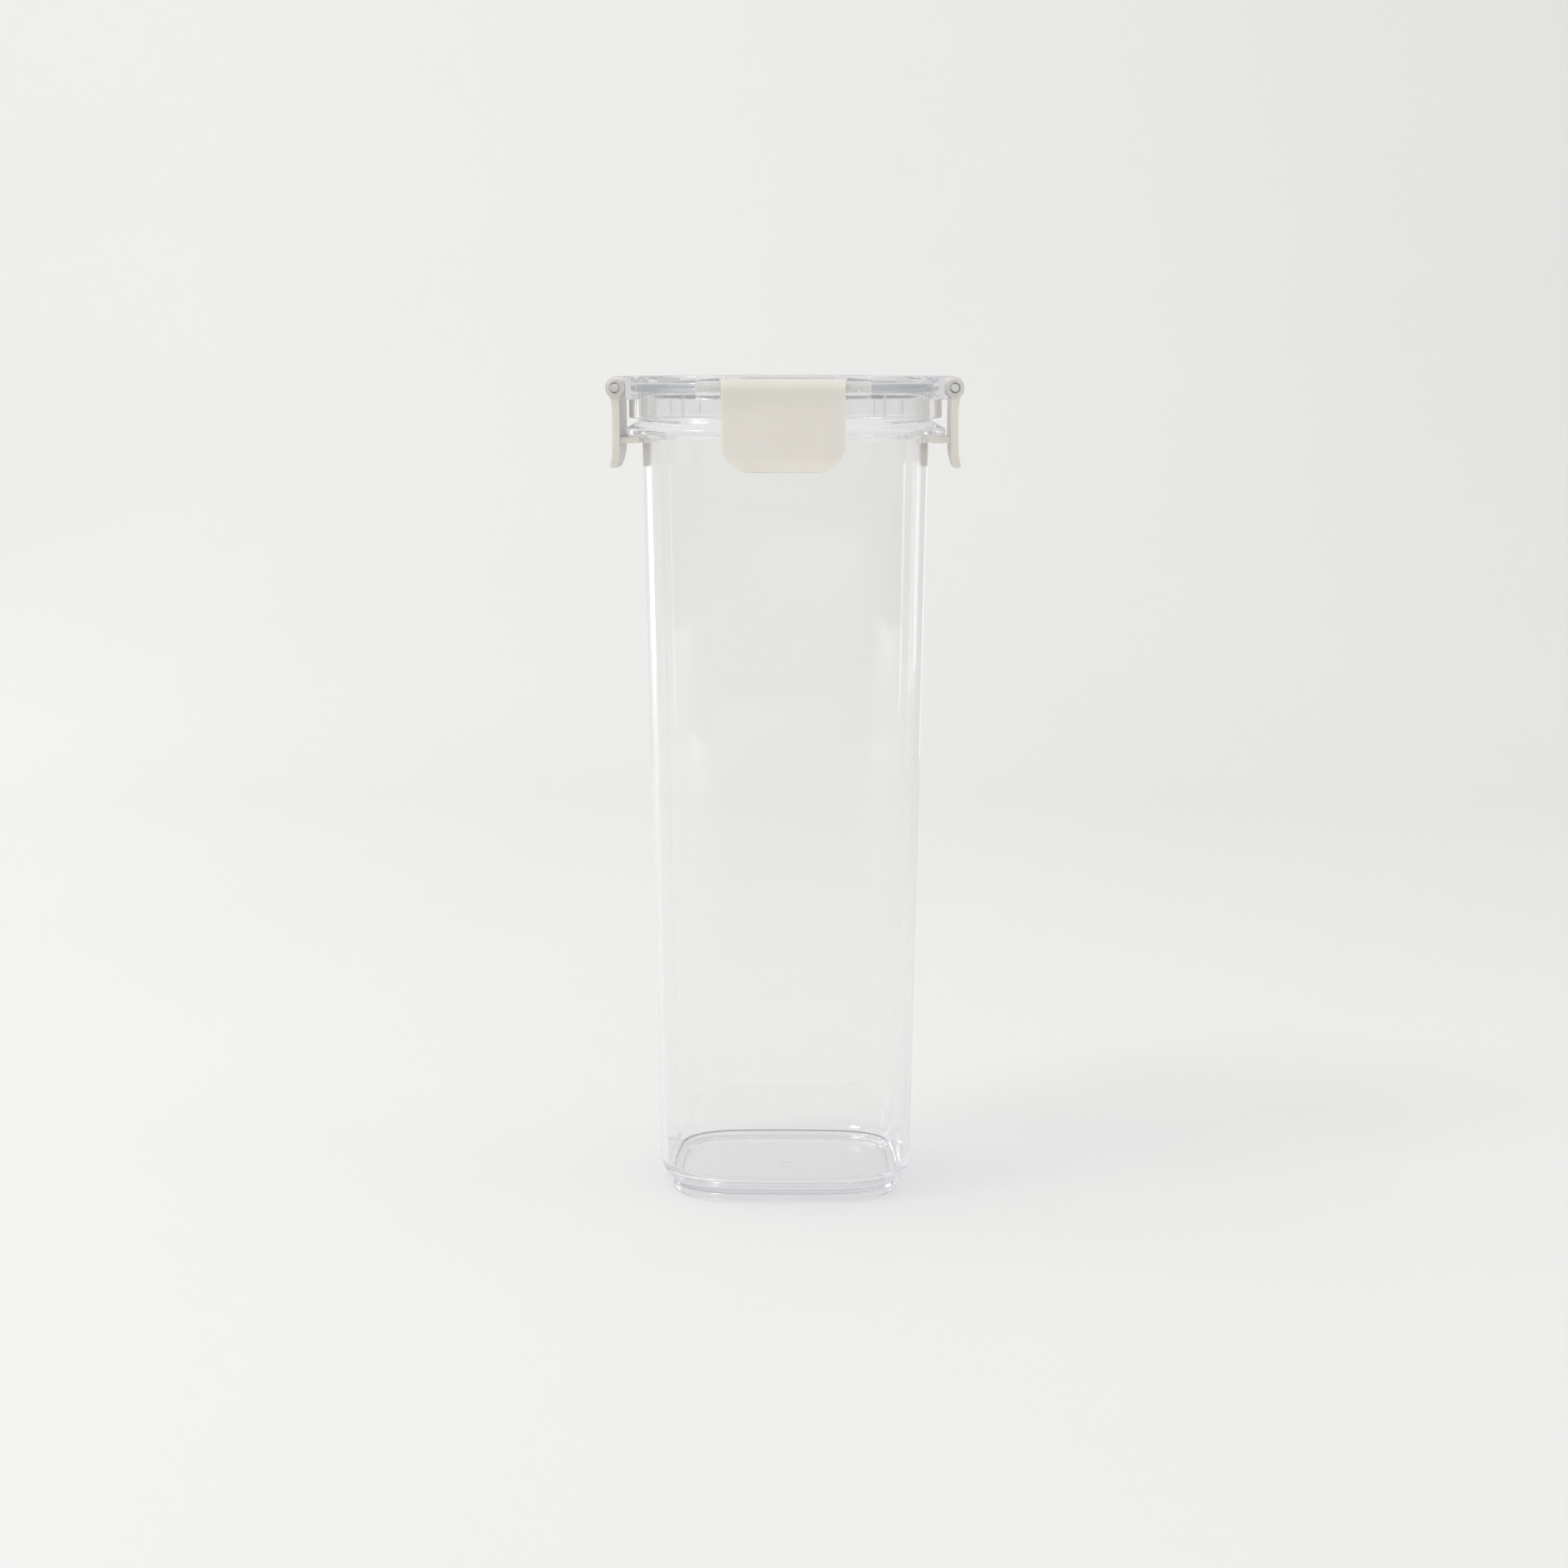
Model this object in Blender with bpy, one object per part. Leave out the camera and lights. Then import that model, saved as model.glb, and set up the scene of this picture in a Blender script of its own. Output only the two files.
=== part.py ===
"""Tall clear food canister with a lid held down by four swinging latches.

Frame: metres, +Z up, origin in the middle of the foot where it stands.
Every level cut of the canister, the gasket and the lid is the same outline
at another half width: four slightly bowed sides joined by round corners.
The front faces -Y. Each latch swings on its own pin between two lugs of the lid.
"""

import math

import bmesh
import bpy
from mathutils import Matrix, Vector

# ---- plan outline, given at the outside of the neck ----
NECK_HALF = 0.0512           # middle of the canister to the neck's outer face
CORNER_RADIUS = 0.0327
BOW_RADIUS = 0.2600
CORNER_STEPS = 6
SIDE_STEPS = 2               # from the middle of a side to its corner

# ---- canister ----
CANISTER_HEIGHT = 0.2840     # foot to the top of the neck
WALL = 0.0024
NECK_WALL = 0.0026
TAPER = 0.0053               # how much the half width shrinks from flange to foot
UNDER_FLANGE_INSET = 0.0005  # wall's step in from the neck, under the flange
FOOT_HEIGHT = 0.0048
FOOT_INSET = 0.0042
FOOT_RING = 0.0030
FOOT_EDGE = 0.0006
HEEL_REACH = 0.0024          # round heel between the wall and the foot, level and upright
HEEL_RISE = 0.0056
HEEL_STEPS = 3
RECESS_UNDER_FLOOR = 0.0022
FLOOR = 0.0026
FLOOR_FILLET = 0.0042
FILLET_STEPS = 3
FLANGE_DROP = 0.0151         # top of the neck to the flange's underside
FLANGE_OVERHANG = 0.0053
FLANGE_EDGE = 0.0013
FLANGE_STEPS = 4
SLOPE_DROP = 0.0090          # top of the neck to where the flange's slope starts
NECK_EDGE = 0.0007

# ---- lid and gasket ----
TOUCHING_GAP = 0.0003        # gap between pieces that touch
GASKET_THICKNESS = 0.0029
GASKET_EDGE = 0.0006
LID_PLATE = 0.0025
LID_EDGE = 0.0008
SKIRT_CLEARANCE = 0.0015
SKIRT_WALL = 0.0025
SKIRT_OVERLAP = 0.0088       # how far the skirt reaches down past the top of the neck
PLUG_CLEARANCE = 0.0019
PLUG_WALL = 0.0022
RECESS_DEPTH = 0.0059        # stacking recess in the lid, for another canister's foot
PANEL = 0.0023
RIB_OFFSET = 0.0340          # centring ribs on the skirt, from the middle of a side
RIB_WIDTH = 0.0009
RIB_PROUD = 0.0008

# ---- lugs, pins and latches ----
LATCH_WIDTH = 0.0420
LATCH_SIDE_GAP = 0.0004
LUG_WIDTH = 0.0082
LUG_RADIUS = 0.0040
LUG_STEPS = 8
LUG_SETBACK = 0.0008         # lug's round end is centred this much inside the pin
PAD = 0.0002                 # pad between two lugs, out from the middle of the skirt
PIN_DROP = 0.0043            # lid's top to the pin's axis
PIN_RADIUS = 0.0015
PIN_CLEARANCE = 0.0003
PIN_END_INSET = 0.0002
PIN_EDGE = 0.0003
PIN_STEPS = 16
HEAD_RADIUS = 0.0031         # latch's head, round about the pin
HEAD_STEPS = 14
HEAD_GAP = 0.0004            # pad's face to the latch's head
CREASE_MARGIN = 0.0003       # face points kept this far from the head, along the latch
FACE_TOP_STANDOFF = 0.0017   # pin's axis out to the latch's face, at the head
FACE_END_STANDOFF = 0.0025   # and at the lower edge
FACE_HOLLOW = 0.0005         # depth of the face's hollow curve
FACE_STEPS = 6
LATCH_DROP = 0.0282          # pin's axis to the latch's lower edge
LATCH_THICKNESS = 0.0026
LATCH_CORNER = 0.0095
LATCH_CORNER_STEPS = 6
HOOK_GAP = 0.0004            # hook's top to the flange's underside
HOOK_TIP_GAP = 0.0004        # hook's tip to the canister's wall
HOOK_THICKNESS = 0.0021
HOOK_WIDTH = 0.0390

SIDES = {"front": 0.0, "right": 90.0, "back": 180.0, "left": 270.0}
SHARP_ANGLE = math.radians(30)
CUT_PAST = 0.0040            # how far a cutter runs past what it cuts
ROOT_DEPTH = 0.0280          # bracket runs this far in before its root is trimmed to the skirt
CLEAR = (0.86, 0.88, 0.91)
CLEAR_PIN = (0.84, 0.86, 0.88)
SILICONE = (0.62, 0.63, 0.66)
IVORY = (0.71, 0.69, 0.64)

# ---- heights and half widths that follow from the sizes above ----
FLOOR_TOP = RECESS_UNDER_FLOOR + FLOOR
FLANGE_UNDER = CANISTER_HEIGHT - FLANGE_DROP
FLANGE_HALF = NECK_HALF + FLANGE_OVERHANG
WALL_TOP_HALF = NECK_HALF - UNDER_FLANGE_INSET
WALL_END_HALF = WALL_TOP_HALF - TAPER
FOOT_HALF = WALL_END_HALF - FOOT_INSET
HEEL_TOP = FOOT_HEIGHT + HEEL_RISE
LID_UNDER = CANISTER_HEIGHT + GASKET_THICKNESS + 2 * TOUCHING_GAP
LID_TOP = LID_UNDER + LID_PLATE
SKIRT_INNER = NECK_HALF + SKIRT_CLEARANCE
SKIRT_OUTER = SKIRT_INNER + SKIRT_WALL
SKIRT_MIDDLE = SKIRT_INNER + SKIRT_WALL / 2
SKIRT_END = CANISTER_HEIGHT - SKIRT_OVERLAP
PLUG_OUTER = NECK_HALF - NECK_WALL - PLUG_CLEARANCE
RECESS_HALF = PLUG_OUTER - PLUG_WALL
RECESS_FLOOR = LID_TOP - RECESS_DEPTH
PANEL_UNDER = RECESS_FLOOR - PANEL
PIN_OUT = SKIRT_OUTER + PAD + HEAD_GAP + HEAD_RADIUS
PIN_HEIGHT = LID_TOP - PIN_DROP
BORE_RADIUS = PIN_RADIUS + PIN_CLEARANCE
BAY_HALF = LATCH_WIDTH / 2 + LATCH_SIDE_GAP
BRACKET_HALF = BAY_HALF + LUG_WIDTH
HOOK_TOP = FLANGE_UNDER - HOOK_GAP
HOOK_TIP = WALL_TOP_HALF + HOOK_TIP_GAP


# ---- outlines and profiles ----

def corner_centre():
    """How far the middle of each round corner lies from the canister's middle, on both axes."""
    bow_centre = NECK_HALF - BOW_RADIUS
    between = BOW_RADIUS - CORNER_RADIUS
    return (bow_centre + math.sqrt(2 * between ** 2 - bow_centre ** 2)) / 2


def outline(half, z):
    """Level ring of points at this half width, parallel to the neck's outline."""
    bow = BOW_RADIUS + half - NECK_HALF
    corner = CORNER_RADIUS + half - NECK_HALF
    bow_centre = NECK_HALF - BOW_RADIUS
    middle = corner_centre()
    turn = math.atan2(middle, middle - bow_centre)
    quarter = [Vector((bow_centre, 0)) + bow * heading(turn * i / SIDE_STEPS) for i in range(SIDE_STEPS)]
    for i in range(CORNER_STEPS + 1):
        angle = turn + (math.pi / 2 - 2 * turn) * i / CORNER_STEPS
        quarter.append(Vector((middle, middle)) + corner * heading(angle))
    for i in range(SIDE_STEPS - 1, 0, -1):
        point = Vector((bow_centre, 0)) + bow * heading(turn * i / SIDE_STEPS)
        quarter.append(Vector((point.y, point.x)))
    turns = [Matrix.Rotation(math.pi / 2 * side, 2) for side in range(4)]
    return [Vector((*(spin @ point), z)) for spin in turns for point in quarter]


def heading(angle):
    """Level unit vector at this angle from +X."""
    return Vector((math.cos(angle), math.sin(angle)))


def arc(centre, radii, start, end, steps):
    """Points of a round stretch, level and upright radius given, from start to end in degrees."""
    angles = [math.radians(start + (end - start) * i / steps) for i in range(steps + 1)]
    return [(centre[0] + radii[0] * math.cos(a), centre[1] + radii[1] * math.sin(a)) for a in angles]


# ---- mesh tools ----

def finish(bm, name, colour=None, roughness=0.1, transmission=0.0):
    """Makes an object of a bmesh, with outward faces, smooth shading and a material."""
    bmesh.ops.recalc_face_normals(bm, faces=bm.faces)
    mesh = bpy.data.meshes.new(name)
    bm.to_mesh(mesh)
    bm.free()
    mesh.shade_smooth()
    mesh.set_sharp_from_angle(angle=SHARP_ANGLE)
    obj = bpy.data.objects.new(name, mesh)
    bpy.context.scene.collection.objects.link(obj)
    if colour:
        mesh.materials.append(material(name, colour, roughness, transmission))
    return obj


def material(name, colour, roughness, transmission):
    made = bpy.data.materials.new(name + "_plastic")
    made.use_nodes = True
    shader = made.node_tree.nodes["Principled BSDF"]
    shader.inputs["Base Color"].default_value = (*colour, 1.0)
    shader.inputs["Roughness"].default_value = roughness
    shader.inputs["Metallic"].default_value = 0.0
    shader.inputs["Transmission Weight"].default_value = transmission
    return made


def rings_mesh(profile, closed):
    """Solid that follows the outline at each (half width, height) of a profile.

    A closed profile makes a ring. An open one is capped at both of its ends.
    """
    bm = bmesh.new()
    rings = [[bm.verts.new(point) for point in outline(half, z)] for half, z in profile]
    following = rings[1:] + rings[:1] if closed else rings[1:]
    for ring, after in zip(rings, following):
        for i, vert in enumerate(ring):
            j = (i + 1) % len(ring)
            bm.faces.new((vert, ring[j], after[j], after[i]))
    if not closed:
        bm.faces.new(rings[0])
        bm.faces.new(rings[-1])
    return bm


def prism_mesh(points, half_width):
    """Solid of a side-on profile, (out from the pin, up from the pin), to both sides of x = 0."""
    bm = bmesh.new()
    face = bm.faces.new([bm.verts.new((-half_width, -out, up)) for out, up in points])
    swept = bmesh.ops.extrude_face_region(bm, geom=[face])
    moved = [v for v in swept["geom"] if isinstance(v, bmesh.types.BMVert)]
    bmesh.ops.translate(bm, verts=moved, vec=(2 * half_width, 0, 0))
    return bm


def rod_mesh(radius, half_length, edge):
    """Round rod along X about the origin, with its ends' edges taken off."""
    bm = bmesh.new()
    bmesh.ops.create_cone(
        bm, cap_ends=True, segments=PIN_STEPS, radius1=radius, radius2=radius,
        depth=2 * half_length, matrix=Matrix.Rotation(math.pi / 2, 4, "Y"),
    )
    if edge:
        rims = [e for e in bm.edges if abs(e.verts[0].co.x - e.verts[1].co.x) < edge]
        bmesh.ops.bevel(
            bm, geom=rims, offset=edge, segments=1, profile=0.5, affect="EDGES", material=-1,
        )
    return bm


def boolean(obj, operation, other):
    """Joins or cuts an object with another one, which is used up."""
    modifier = obj.modifiers.new(operation.lower(), "BOOLEAN")
    modifier.operation = operation
    modifier.solver = "EXACT"
    modifier.object = other
    bpy.context.view_layer.update()
    result = bpy.data.meshes.new_from_object(obj.evaluated_get(bpy.context.evaluated_depsgraph_get()))
    obj.modifiers.remove(modifier)
    obj.data = result
    result.set_sharp_from_angle(angle=SHARP_ANGLE)
    bpy.data.objects.remove(other)


def place_on_side(obj, angle):
    """Puts an object made about a pin's axis on the side that is this many degrees from the front."""
    spin = Matrix.Rotation(math.radians(angle), 4, "Z")
    obj.location = spin @ Vector((0, -PIN_OUT, PIN_HEIGHT))
    obj.rotation_euler.z = math.radians(angle)


# ---- the pieces ----

def make_canister_body():
    foot_inner = FOOT_HALF - FOOT_RING
    heel_centre = (WALL_END_HALF - HEEL_REACH, HEEL_TOP)
    flange_centre = (FLANGE_HALF - FLANGE_EDGE, FLANGE_UNDER + FLANGE_EDGE)
    bore_half = NECK_HALF - NECK_WALL
    floor_half = WALL_END_HALF - WALL
    fillet_centre = (floor_half - FLOOR_FILLET, FLOOR_TOP + FLOOR_FILLET)
    profile = [(foot_inner, RECESS_UNDER_FLOOR), (foot_inner, FOOT_EDGE), (foot_inner + FOOT_EDGE, 0)]
    profile += [(FOOT_HALF - FOOT_EDGE, 0), (FOOT_HALF, FOOT_EDGE), (FOOT_HALF, FOOT_HEIGHT)]
    profile += arc(heel_centre, (HEEL_REACH, HEEL_RISE), 270, 360, HEEL_STEPS)
    profile += [(WALL_TOP_HALF, FLANGE_UNDER)]
    profile += arc(flange_centre, (FLANGE_EDGE, FLANGE_EDGE), 270, 420, FLANGE_STEPS)
    profile += [(NECK_HALF, CANISTER_HEIGHT - SLOPE_DROP), (NECK_HALF, CANISTER_HEIGHT - NECK_EDGE)]
    profile += [(NECK_HALF - NECK_EDGE, CANISTER_HEIGHT), (bore_half + NECK_EDGE, CANISTER_HEIGHT)]
    profile += [(bore_half, CANISTER_HEIGHT - NECK_EDGE), (bore_half, CANISTER_HEIGHT - SLOPE_DROP)]
    profile += [(WALL_TOP_HALF - WALL, FLANGE_UNDER)]
    profile += arc(fillet_centre, (FLOOR_FILLET, FLOOR_FILLET), 360, 270, FILLET_STEPS)
    return finish(rings_mesh(profile, closed=False), "canister_body", CLEAR, 0.05, 0.9)


def make_gasket():
    inner = PLUG_OUTER + TOUCHING_GAP
    outer = SKIRT_INNER - TOUCHING_GAP
    low = CANISTER_HEIGHT + TOUCHING_GAP
    high = LID_UNDER - TOUCHING_GAP
    profile = [(inner, high - GASKET_EDGE), (inner, low + GASKET_EDGE), (inner + GASKET_EDGE, low)]
    profile += [(outer - GASKET_EDGE, low), (outer, low + GASKET_EDGE), (outer, high - GASKET_EDGE)]
    profile += [(outer - GASKET_EDGE, high), (inner + GASKET_EDGE, high)]
    return finish(rings_mesh(profile, closed=True), "gasket", SILICONE, 0.45, 0.3)


def make_lid():
    profile = [(PLUG_OUTER - LID_EDGE, PANEL_UNDER), (PLUG_OUTER, PANEL_UNDER + LID_EDGE)]
    profile += [(PLUG_OUTER, LID_UNDER), (SKIRT_INNER, LID_UNDER), (SKIRT_INNER, SKIRT_END)]
    profile += [(SKIRT_OUTER, SKIRT_END), (SKIRT_OUTER, LID_TOP - LID_EDGE), (SKIRT_OUTER - LID_EDGE, LID_TOP)]
    profile += [(RECESS_HALF + LID_EDGE, LID_TOP), (RECESS_HALF, LID_TOP - LID_EDGE), (RECESS_HALF, RECESS_FLOOR)]
    lid = finish(rings_mesh(profile, closed=False), "lid", CLEAR, 0.05, 0.9)
    for angle in SIDES.values():
        boolean(lid, "UNION", make_bracket(angle))
        for side in (-1, 1):
            boolean(lid, "UNION", make_rib(angle, side))
    return lid


def make_bracket(angle):
    """Pad and two bored lugs for one latch, with their root inside the skirt's wall."""
    root = SKIRT_MIDDLE - ROOT_DEPTH - PIN_OUT
    low = -LUG_RADIUS
    ends = arc((-LUG_SETBACK, 0), (LUG_RADIUS, LUG_RADIUS), -90, 90, LUG_STEPS)
    bracket = finish(prism_mesh([(root, low)] + ends + [(root, LUG_RADIUS)], BRACKET_HALF), "bracket")
    bay_floor = SKIRT_OUTER + PAD - PIN_OUT
    high = LUG_RADIUS + CUT_PAST
    reach = LUG_RADIUS + CUT_PAST
    bay = [(bay_floor, -high), (reach, -high), (reach, high), (bay_floor, high)]
    boolean(bracket, "DIFFERENCE", finish(prism_mesh(bay, BAY_HALF), "bay"))
    bore = rod_mesh(BORE_RADIUS, BRACKET_HALF + CUT_PAST, 0)
    boolean(bracket, "DIFFERENCE", finish(bore, "bore"))
    place_on_side(bracket, angle)
    inside = [(SKIRT_MIDDLE, SKIRT_END), (SKIRT_MIDDLE, LID_TOP + CUT_PAST)]
    boolean(bracket, "DIFFERENCE", finish(rings_mesh(inside, closed=False), "inside"))
    return bracket


def make_rib(angle, side):
    """Upright centring rib inside the skirt, where its outline starts to turn the corner."""
    middle = corner_centre()
    radius = CORNER_RADIUS + SKIRT_INNER - NECK_HALF
    lean = math.asin((RIB_OFFSET - middle) / radius)
    height = SKIRT_OVERLAP - LID_EDGE
    depth = RIB_PROUD + SKIRT_WALL / 2
    bm = bmesh.new()
    size = Matrix.Diagonal((RIB_WIDTH, depth, height, 1))
    bmesh.ops.create_cube(bm, size=1, matrix=size)
    out = Matrix.Translation((0, RIB_PROUD - radius - depth / 2, CANISTER_HEIGHT - height / 2))
    corner = Matrix.Translation((side * middle, -middle, 0)) @ Matrix.Rotation(side * lean, 4, "Z")
    bmesh.ops.transform(bm, matrix=corner @ out, verts=bm.verts)
    rib = finish(bm, "rib")
    rib.rotation_euler.z = math.radians(angle)
    return rib


def latch_profile():
    """Side-on outline of head and plate: round head, hollow face, lower edge, inner face."""
    chord = LATCH_DROP
    radius = (chord ** 2 / 4 + FACE_HOLLOW ** 2) / (2 * FACE_HOLLOW)
    slope = FACE_END_STANDOFF - FACE_TOP_STANDOFF
    face = []
    for i in range(FACE_STEPS + 1):
        down = chord * (1 - i / FACE_STEPS)
        hollow = FACE_HOLLOW - (radius - math.sqrt(radius ** 2 - (down - chord / 2) ** 2))
        face.append((FACE_TOP_STANDOFF + slope * down / chord - hollow, -down))
    start = math.degrees(math.acos(FACE_TOP_STANDOFF / HEAD_RADIUS))
    inner_out = FACE_TOP_STANDOFF - LATCH_THICKNESS
    end = 360 - math.degrees(math.acos(inner_out / HEAD_RADIUS))
    head = arc((0, 0), (HEAD_RADIUS, HEAD_RADIUS), -start, end, HEAD_STEPS)
    head_low = -math.sqrt(HEAD_RADIUS ** 2 - FACE_TOP_STANDOFF ** 2)
    outer = [point for point in face if point[1] < head_low - CREASE_MARGIN]
    inner_low = -math.sqrt(HEAD_RADIUS ** 2 - inner_out ** 2)
    inner = [(out - LATCH_THICKNESS, up) for out, up in reversed(face) if up < inner_low - CREASE_MARGIN]
    return outer + head + inner


def make_latch(name, angle):
    half = LATCH_WIDTH / 2
    latch = finish(prism_mesh(latch_profile(), half), name, IVORY, 0.35)
    hook_top = HOOK_TOP - PIN_HEIGHT
    hook_tip = HOOK_TIP - PIN_OUT
    root = FACE_TOP_STANDOFF - FACE_HOLLOW - LATCH_THICKNESS / 2
    hook = [(hook_tip, hook_top - HOOK_THICKNESS), (root, hook_top - HOOK_THICKNESS)]
    hook += [(root, hook_top), (hook_tip, hook_top)]
    boolean(latch, "UNION", finish(prism_mesh(hook, HOOK_WIDTH / 2), "hook"))
    boolean(latch, "INTERSECT", front_outline(half))
    boolean(latch, "DIFFERENCE", finish(rod_mesh(BORE_RADIUS, half + CUT_PAST, 0), "bore"))
    place_on_side(latch, angle)
    return latch


def front_outline(half):
    """Block whose front view is a latch's: straight sides and two round lower corners."""
    low = -LATCH_DROP
    high = HEAD_RADIUS + CUT_PAST
    centre = half - LATCH_CORNER
    right = arc((centre, low + LATCH_CORNER), (LATCH_CORNER, LATCH_CORNER), 270, 360, LATCH_CORNER_STEPS)
    left = arc((-centre, low + LATCH_CORNER), (LATCH_CORNER, LATCH_CORNER), 180, 270, LATCH_CORNER_STEPS)
    near = -(LUG_RADIUS + CUT_PAST)
    far = PIN_OUT - HOOK_TIP + CUT_PAST
    bm = bmesh.new()
    outline_points = right + [(half + CUT_PAST, low + LATCH_CORNER), (half + CUT_PAST, high)]
    outline_points += [(-half - CUT_PAST, high), (-half - CUT_PAST, low + LATCH_CORNER)] + left
    face = bm.faces.new([bm.verts.new((x, near, z)) for x, z in outline_points])
    swept = bmesh.ops.extrude_face_region(bm, geom=[face])
    moved = [v for v in swept["geom"] if isinstance(v, bmesh.types.BMVert)]
    bmesh.ops.translate(bm, verts=moved, vec=(0, far - near, 0))
    return finish(bm, "front_outline")


def make_hinge_pin(name, angle):
    bm = rod_mesh(PIN_RADIUS, BRACKET_HALF - PIN_END_INSET, PIN_EDGE)
    pin = finish(bm, name, CLEAR_PIN, 0.15, 0.6)
    place_on_side(pin, angle)
    return pin


def main():
    for obj in list(bpy.data.objects):
        bpy.data.objects.remove(obj)
    make_canister_body()
    make_gasket()
    make_lid()
    for side, angle in SIDES.items():
        make_hinge_pin("hinge_pin_" + side, angle)
        make_latch("latch_" + side, angle)


main()
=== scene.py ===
import math

import bmesh
import bpy
from mathutils import Matrix, Vector


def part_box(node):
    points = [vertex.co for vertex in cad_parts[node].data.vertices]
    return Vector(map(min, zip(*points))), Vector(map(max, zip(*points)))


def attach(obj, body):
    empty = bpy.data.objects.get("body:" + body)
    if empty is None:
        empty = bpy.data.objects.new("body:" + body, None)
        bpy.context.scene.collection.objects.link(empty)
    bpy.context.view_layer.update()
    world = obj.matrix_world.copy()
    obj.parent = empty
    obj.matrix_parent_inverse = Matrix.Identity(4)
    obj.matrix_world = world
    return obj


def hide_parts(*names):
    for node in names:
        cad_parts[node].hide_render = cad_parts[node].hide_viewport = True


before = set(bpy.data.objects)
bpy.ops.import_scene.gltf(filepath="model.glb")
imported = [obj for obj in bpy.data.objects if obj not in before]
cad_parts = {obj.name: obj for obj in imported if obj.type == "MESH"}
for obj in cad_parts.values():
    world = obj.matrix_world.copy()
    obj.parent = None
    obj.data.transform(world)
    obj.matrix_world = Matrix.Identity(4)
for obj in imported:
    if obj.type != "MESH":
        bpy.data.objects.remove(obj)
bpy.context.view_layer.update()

# plan of the canister at the outside of its neck: four bowed sides and four round corners
plan = {
    "halfWidth": 0.0512,
    "cornerRadius": 0.0327,
    "bowRadius": 0.2600,
    "cornerSteps": 18,
    "sideSteps": 7,
}
bowCentre = plan["halfWidth"] - plan["bowRadius"]
bowReach = plan["bowRadius"] - plan["cornerRadius"]
cornerCentre = (bowCentre + math.sqrt(2 * bowReach ** 2 - bowCentre ** 2)) / 2
bowTurn = math.atan2(cornerCentre, cornerCentre - bowCentre)

# where the frame says the pieces are
_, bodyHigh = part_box("canister_body")
lidLow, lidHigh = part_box("lid")
sealLow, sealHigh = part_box("gasket")
pinLow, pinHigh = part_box("hinge_pin_right")
pinOut = (pinLow.x + pinHigh.x) / 2
pinHeight = (pinLow.z + pinHigh.z) / 2
sides = {"front": 0, "right": 90, "back": 180, "left": 270}      # degrees round from the front

sharpAngle = math.radians(38)    # edges that turn more than this stay crisp
hair = 0.0001                    # places that differ by less than this are taken as the same

# points nearer to each other than these are made one
merging = {
    "sweep": 0.000002,           # where a swept profile comes back to its start
    "outline": 0.000005,
    "lugRound": 0.000030,        # where the two bevels of a lug's round end meet
    "cut": 0.000020,             # what joins and cuts leave behind
    "sliver": 0.000010,
}


def drawProfile(bm, rows, steps=6):
    # rows are (half width, height, rounding of the corner there)
    points = [Vector((half, 0, z)) for half, z, _ in rows]
    verts = [bmesh.ops.create_vert(bm, co=point)["vert"][0] for point in points]
    for first, second in zip(verts, verts[1:]):
        bmesh.ops.contextual_create(bm, geom=[first, second])
    for i in range(1, len(rows) - 1):
        rounding = rows[i][2]
        if rounding:
            opening = (points[i - 1] - points[i]).angle(points[i + 1] - points[i])
            bmesh.ops.bevel(bm, geom=[verts[i]], offset=rounding / math.tan(opening / 2), segments=steps,
                            profile=0.5, affect="VERTICES", material=-1)


def sweepRoundPlan(bm):
    # carries the profile round each bowed side and each corner in turn
    geom = bm.verts[:] + bm.edges[:]
    for side in range(4):
        quarter = Matrix.Rotation(side * math.pi / 2, 4, "Z")
        stretches = (
            ((bowCentre, 0, 0), bowTurn, plan["sideSteps"]),
            ((cornerCentre, cornerCentre, 0), math.pi / 2 - 2 * bowTurn, plan["cornerSteps"]),
            ((0, bowCentre, 0), bowTurn, plan["sideSteps"]),
        )
        for centre, angle, steps in stretches:
            spun = bmesh.ops.spin(bm, geom=geom, cent=quarter @ Vector(centre), axis=(0, 0, 1),
                                  angle=angle, steps=steps)
            geom = spun["geom_last"]
    bmesh.ops.remove_doubles(bm, verts=bm.verts[:], dist=merging["sweep"])


def capEnds(bm, borders=(0.0006, 0.004)):
    # closes the open ends, with narrow borders inside so that the flat middle stays flat
    rims = [e for e in bm.edges if e.is_boundary]
    caps = bmesh.ops.holes_fill(bm, edges=rims, sides=0)["faces"]
    for border in borders:
        bmesh.ops.inset_individual(bm, faces=caps, thickness=border)


def drawBlock(width, depth, height, centre=(0, 0, 0)):
    bm = bmesh.new()
    bmesh.ops.create_cube(bm, size=1.0)
    bmesh.ops.scale(bm, verts=bm.verts[:], vec=(width, depth, height))
    bmesh.ops.translate(bm, verts=bm.verts[:], vec=centre)
    return bm


def drawRod(radius, length, segments=48):
    # round bar along X
    bm = bmesh.new()
    bmesh.ops.create_cone(bm, cap_ends=True, segments=segments, radius1=radius, radius2=radius,
                          depth=length, matrix=Matrix.Rotation(math.pi / 2, 4, "Y"))
    return bm


def runsAlong(edge, axis):
    first, second = edge.verts
    return abs(first.co[axis] - second.co[axis]) > hair


def bevelEdges(bm, edges, width, segments=3):
    bmesh.ops.bevel(bm, geom=edges, offset=width, segments=segments, profile=0.5,
                    affect="EDGES", material=-1)


def spreadAlongX(bm, swept, width):
    # moves what an extrude has made out to the width, and centres the whole
    moved = [v for v in swept["geom"] if isinstance(v, bmesh.types.BMVert)]
    bmesh.ops.translate(bm, verts=moved, vec=(width, 0, 0))
    bmesh.ops.translate(bm, verts=bm.verts[:], vec=(-width / 2, 0, 0))


def shadeSmooth(mesh):
    mesh.shade_smooth()
    mesh.set_sharp_from_angle(angle=sharpAngle)


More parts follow.
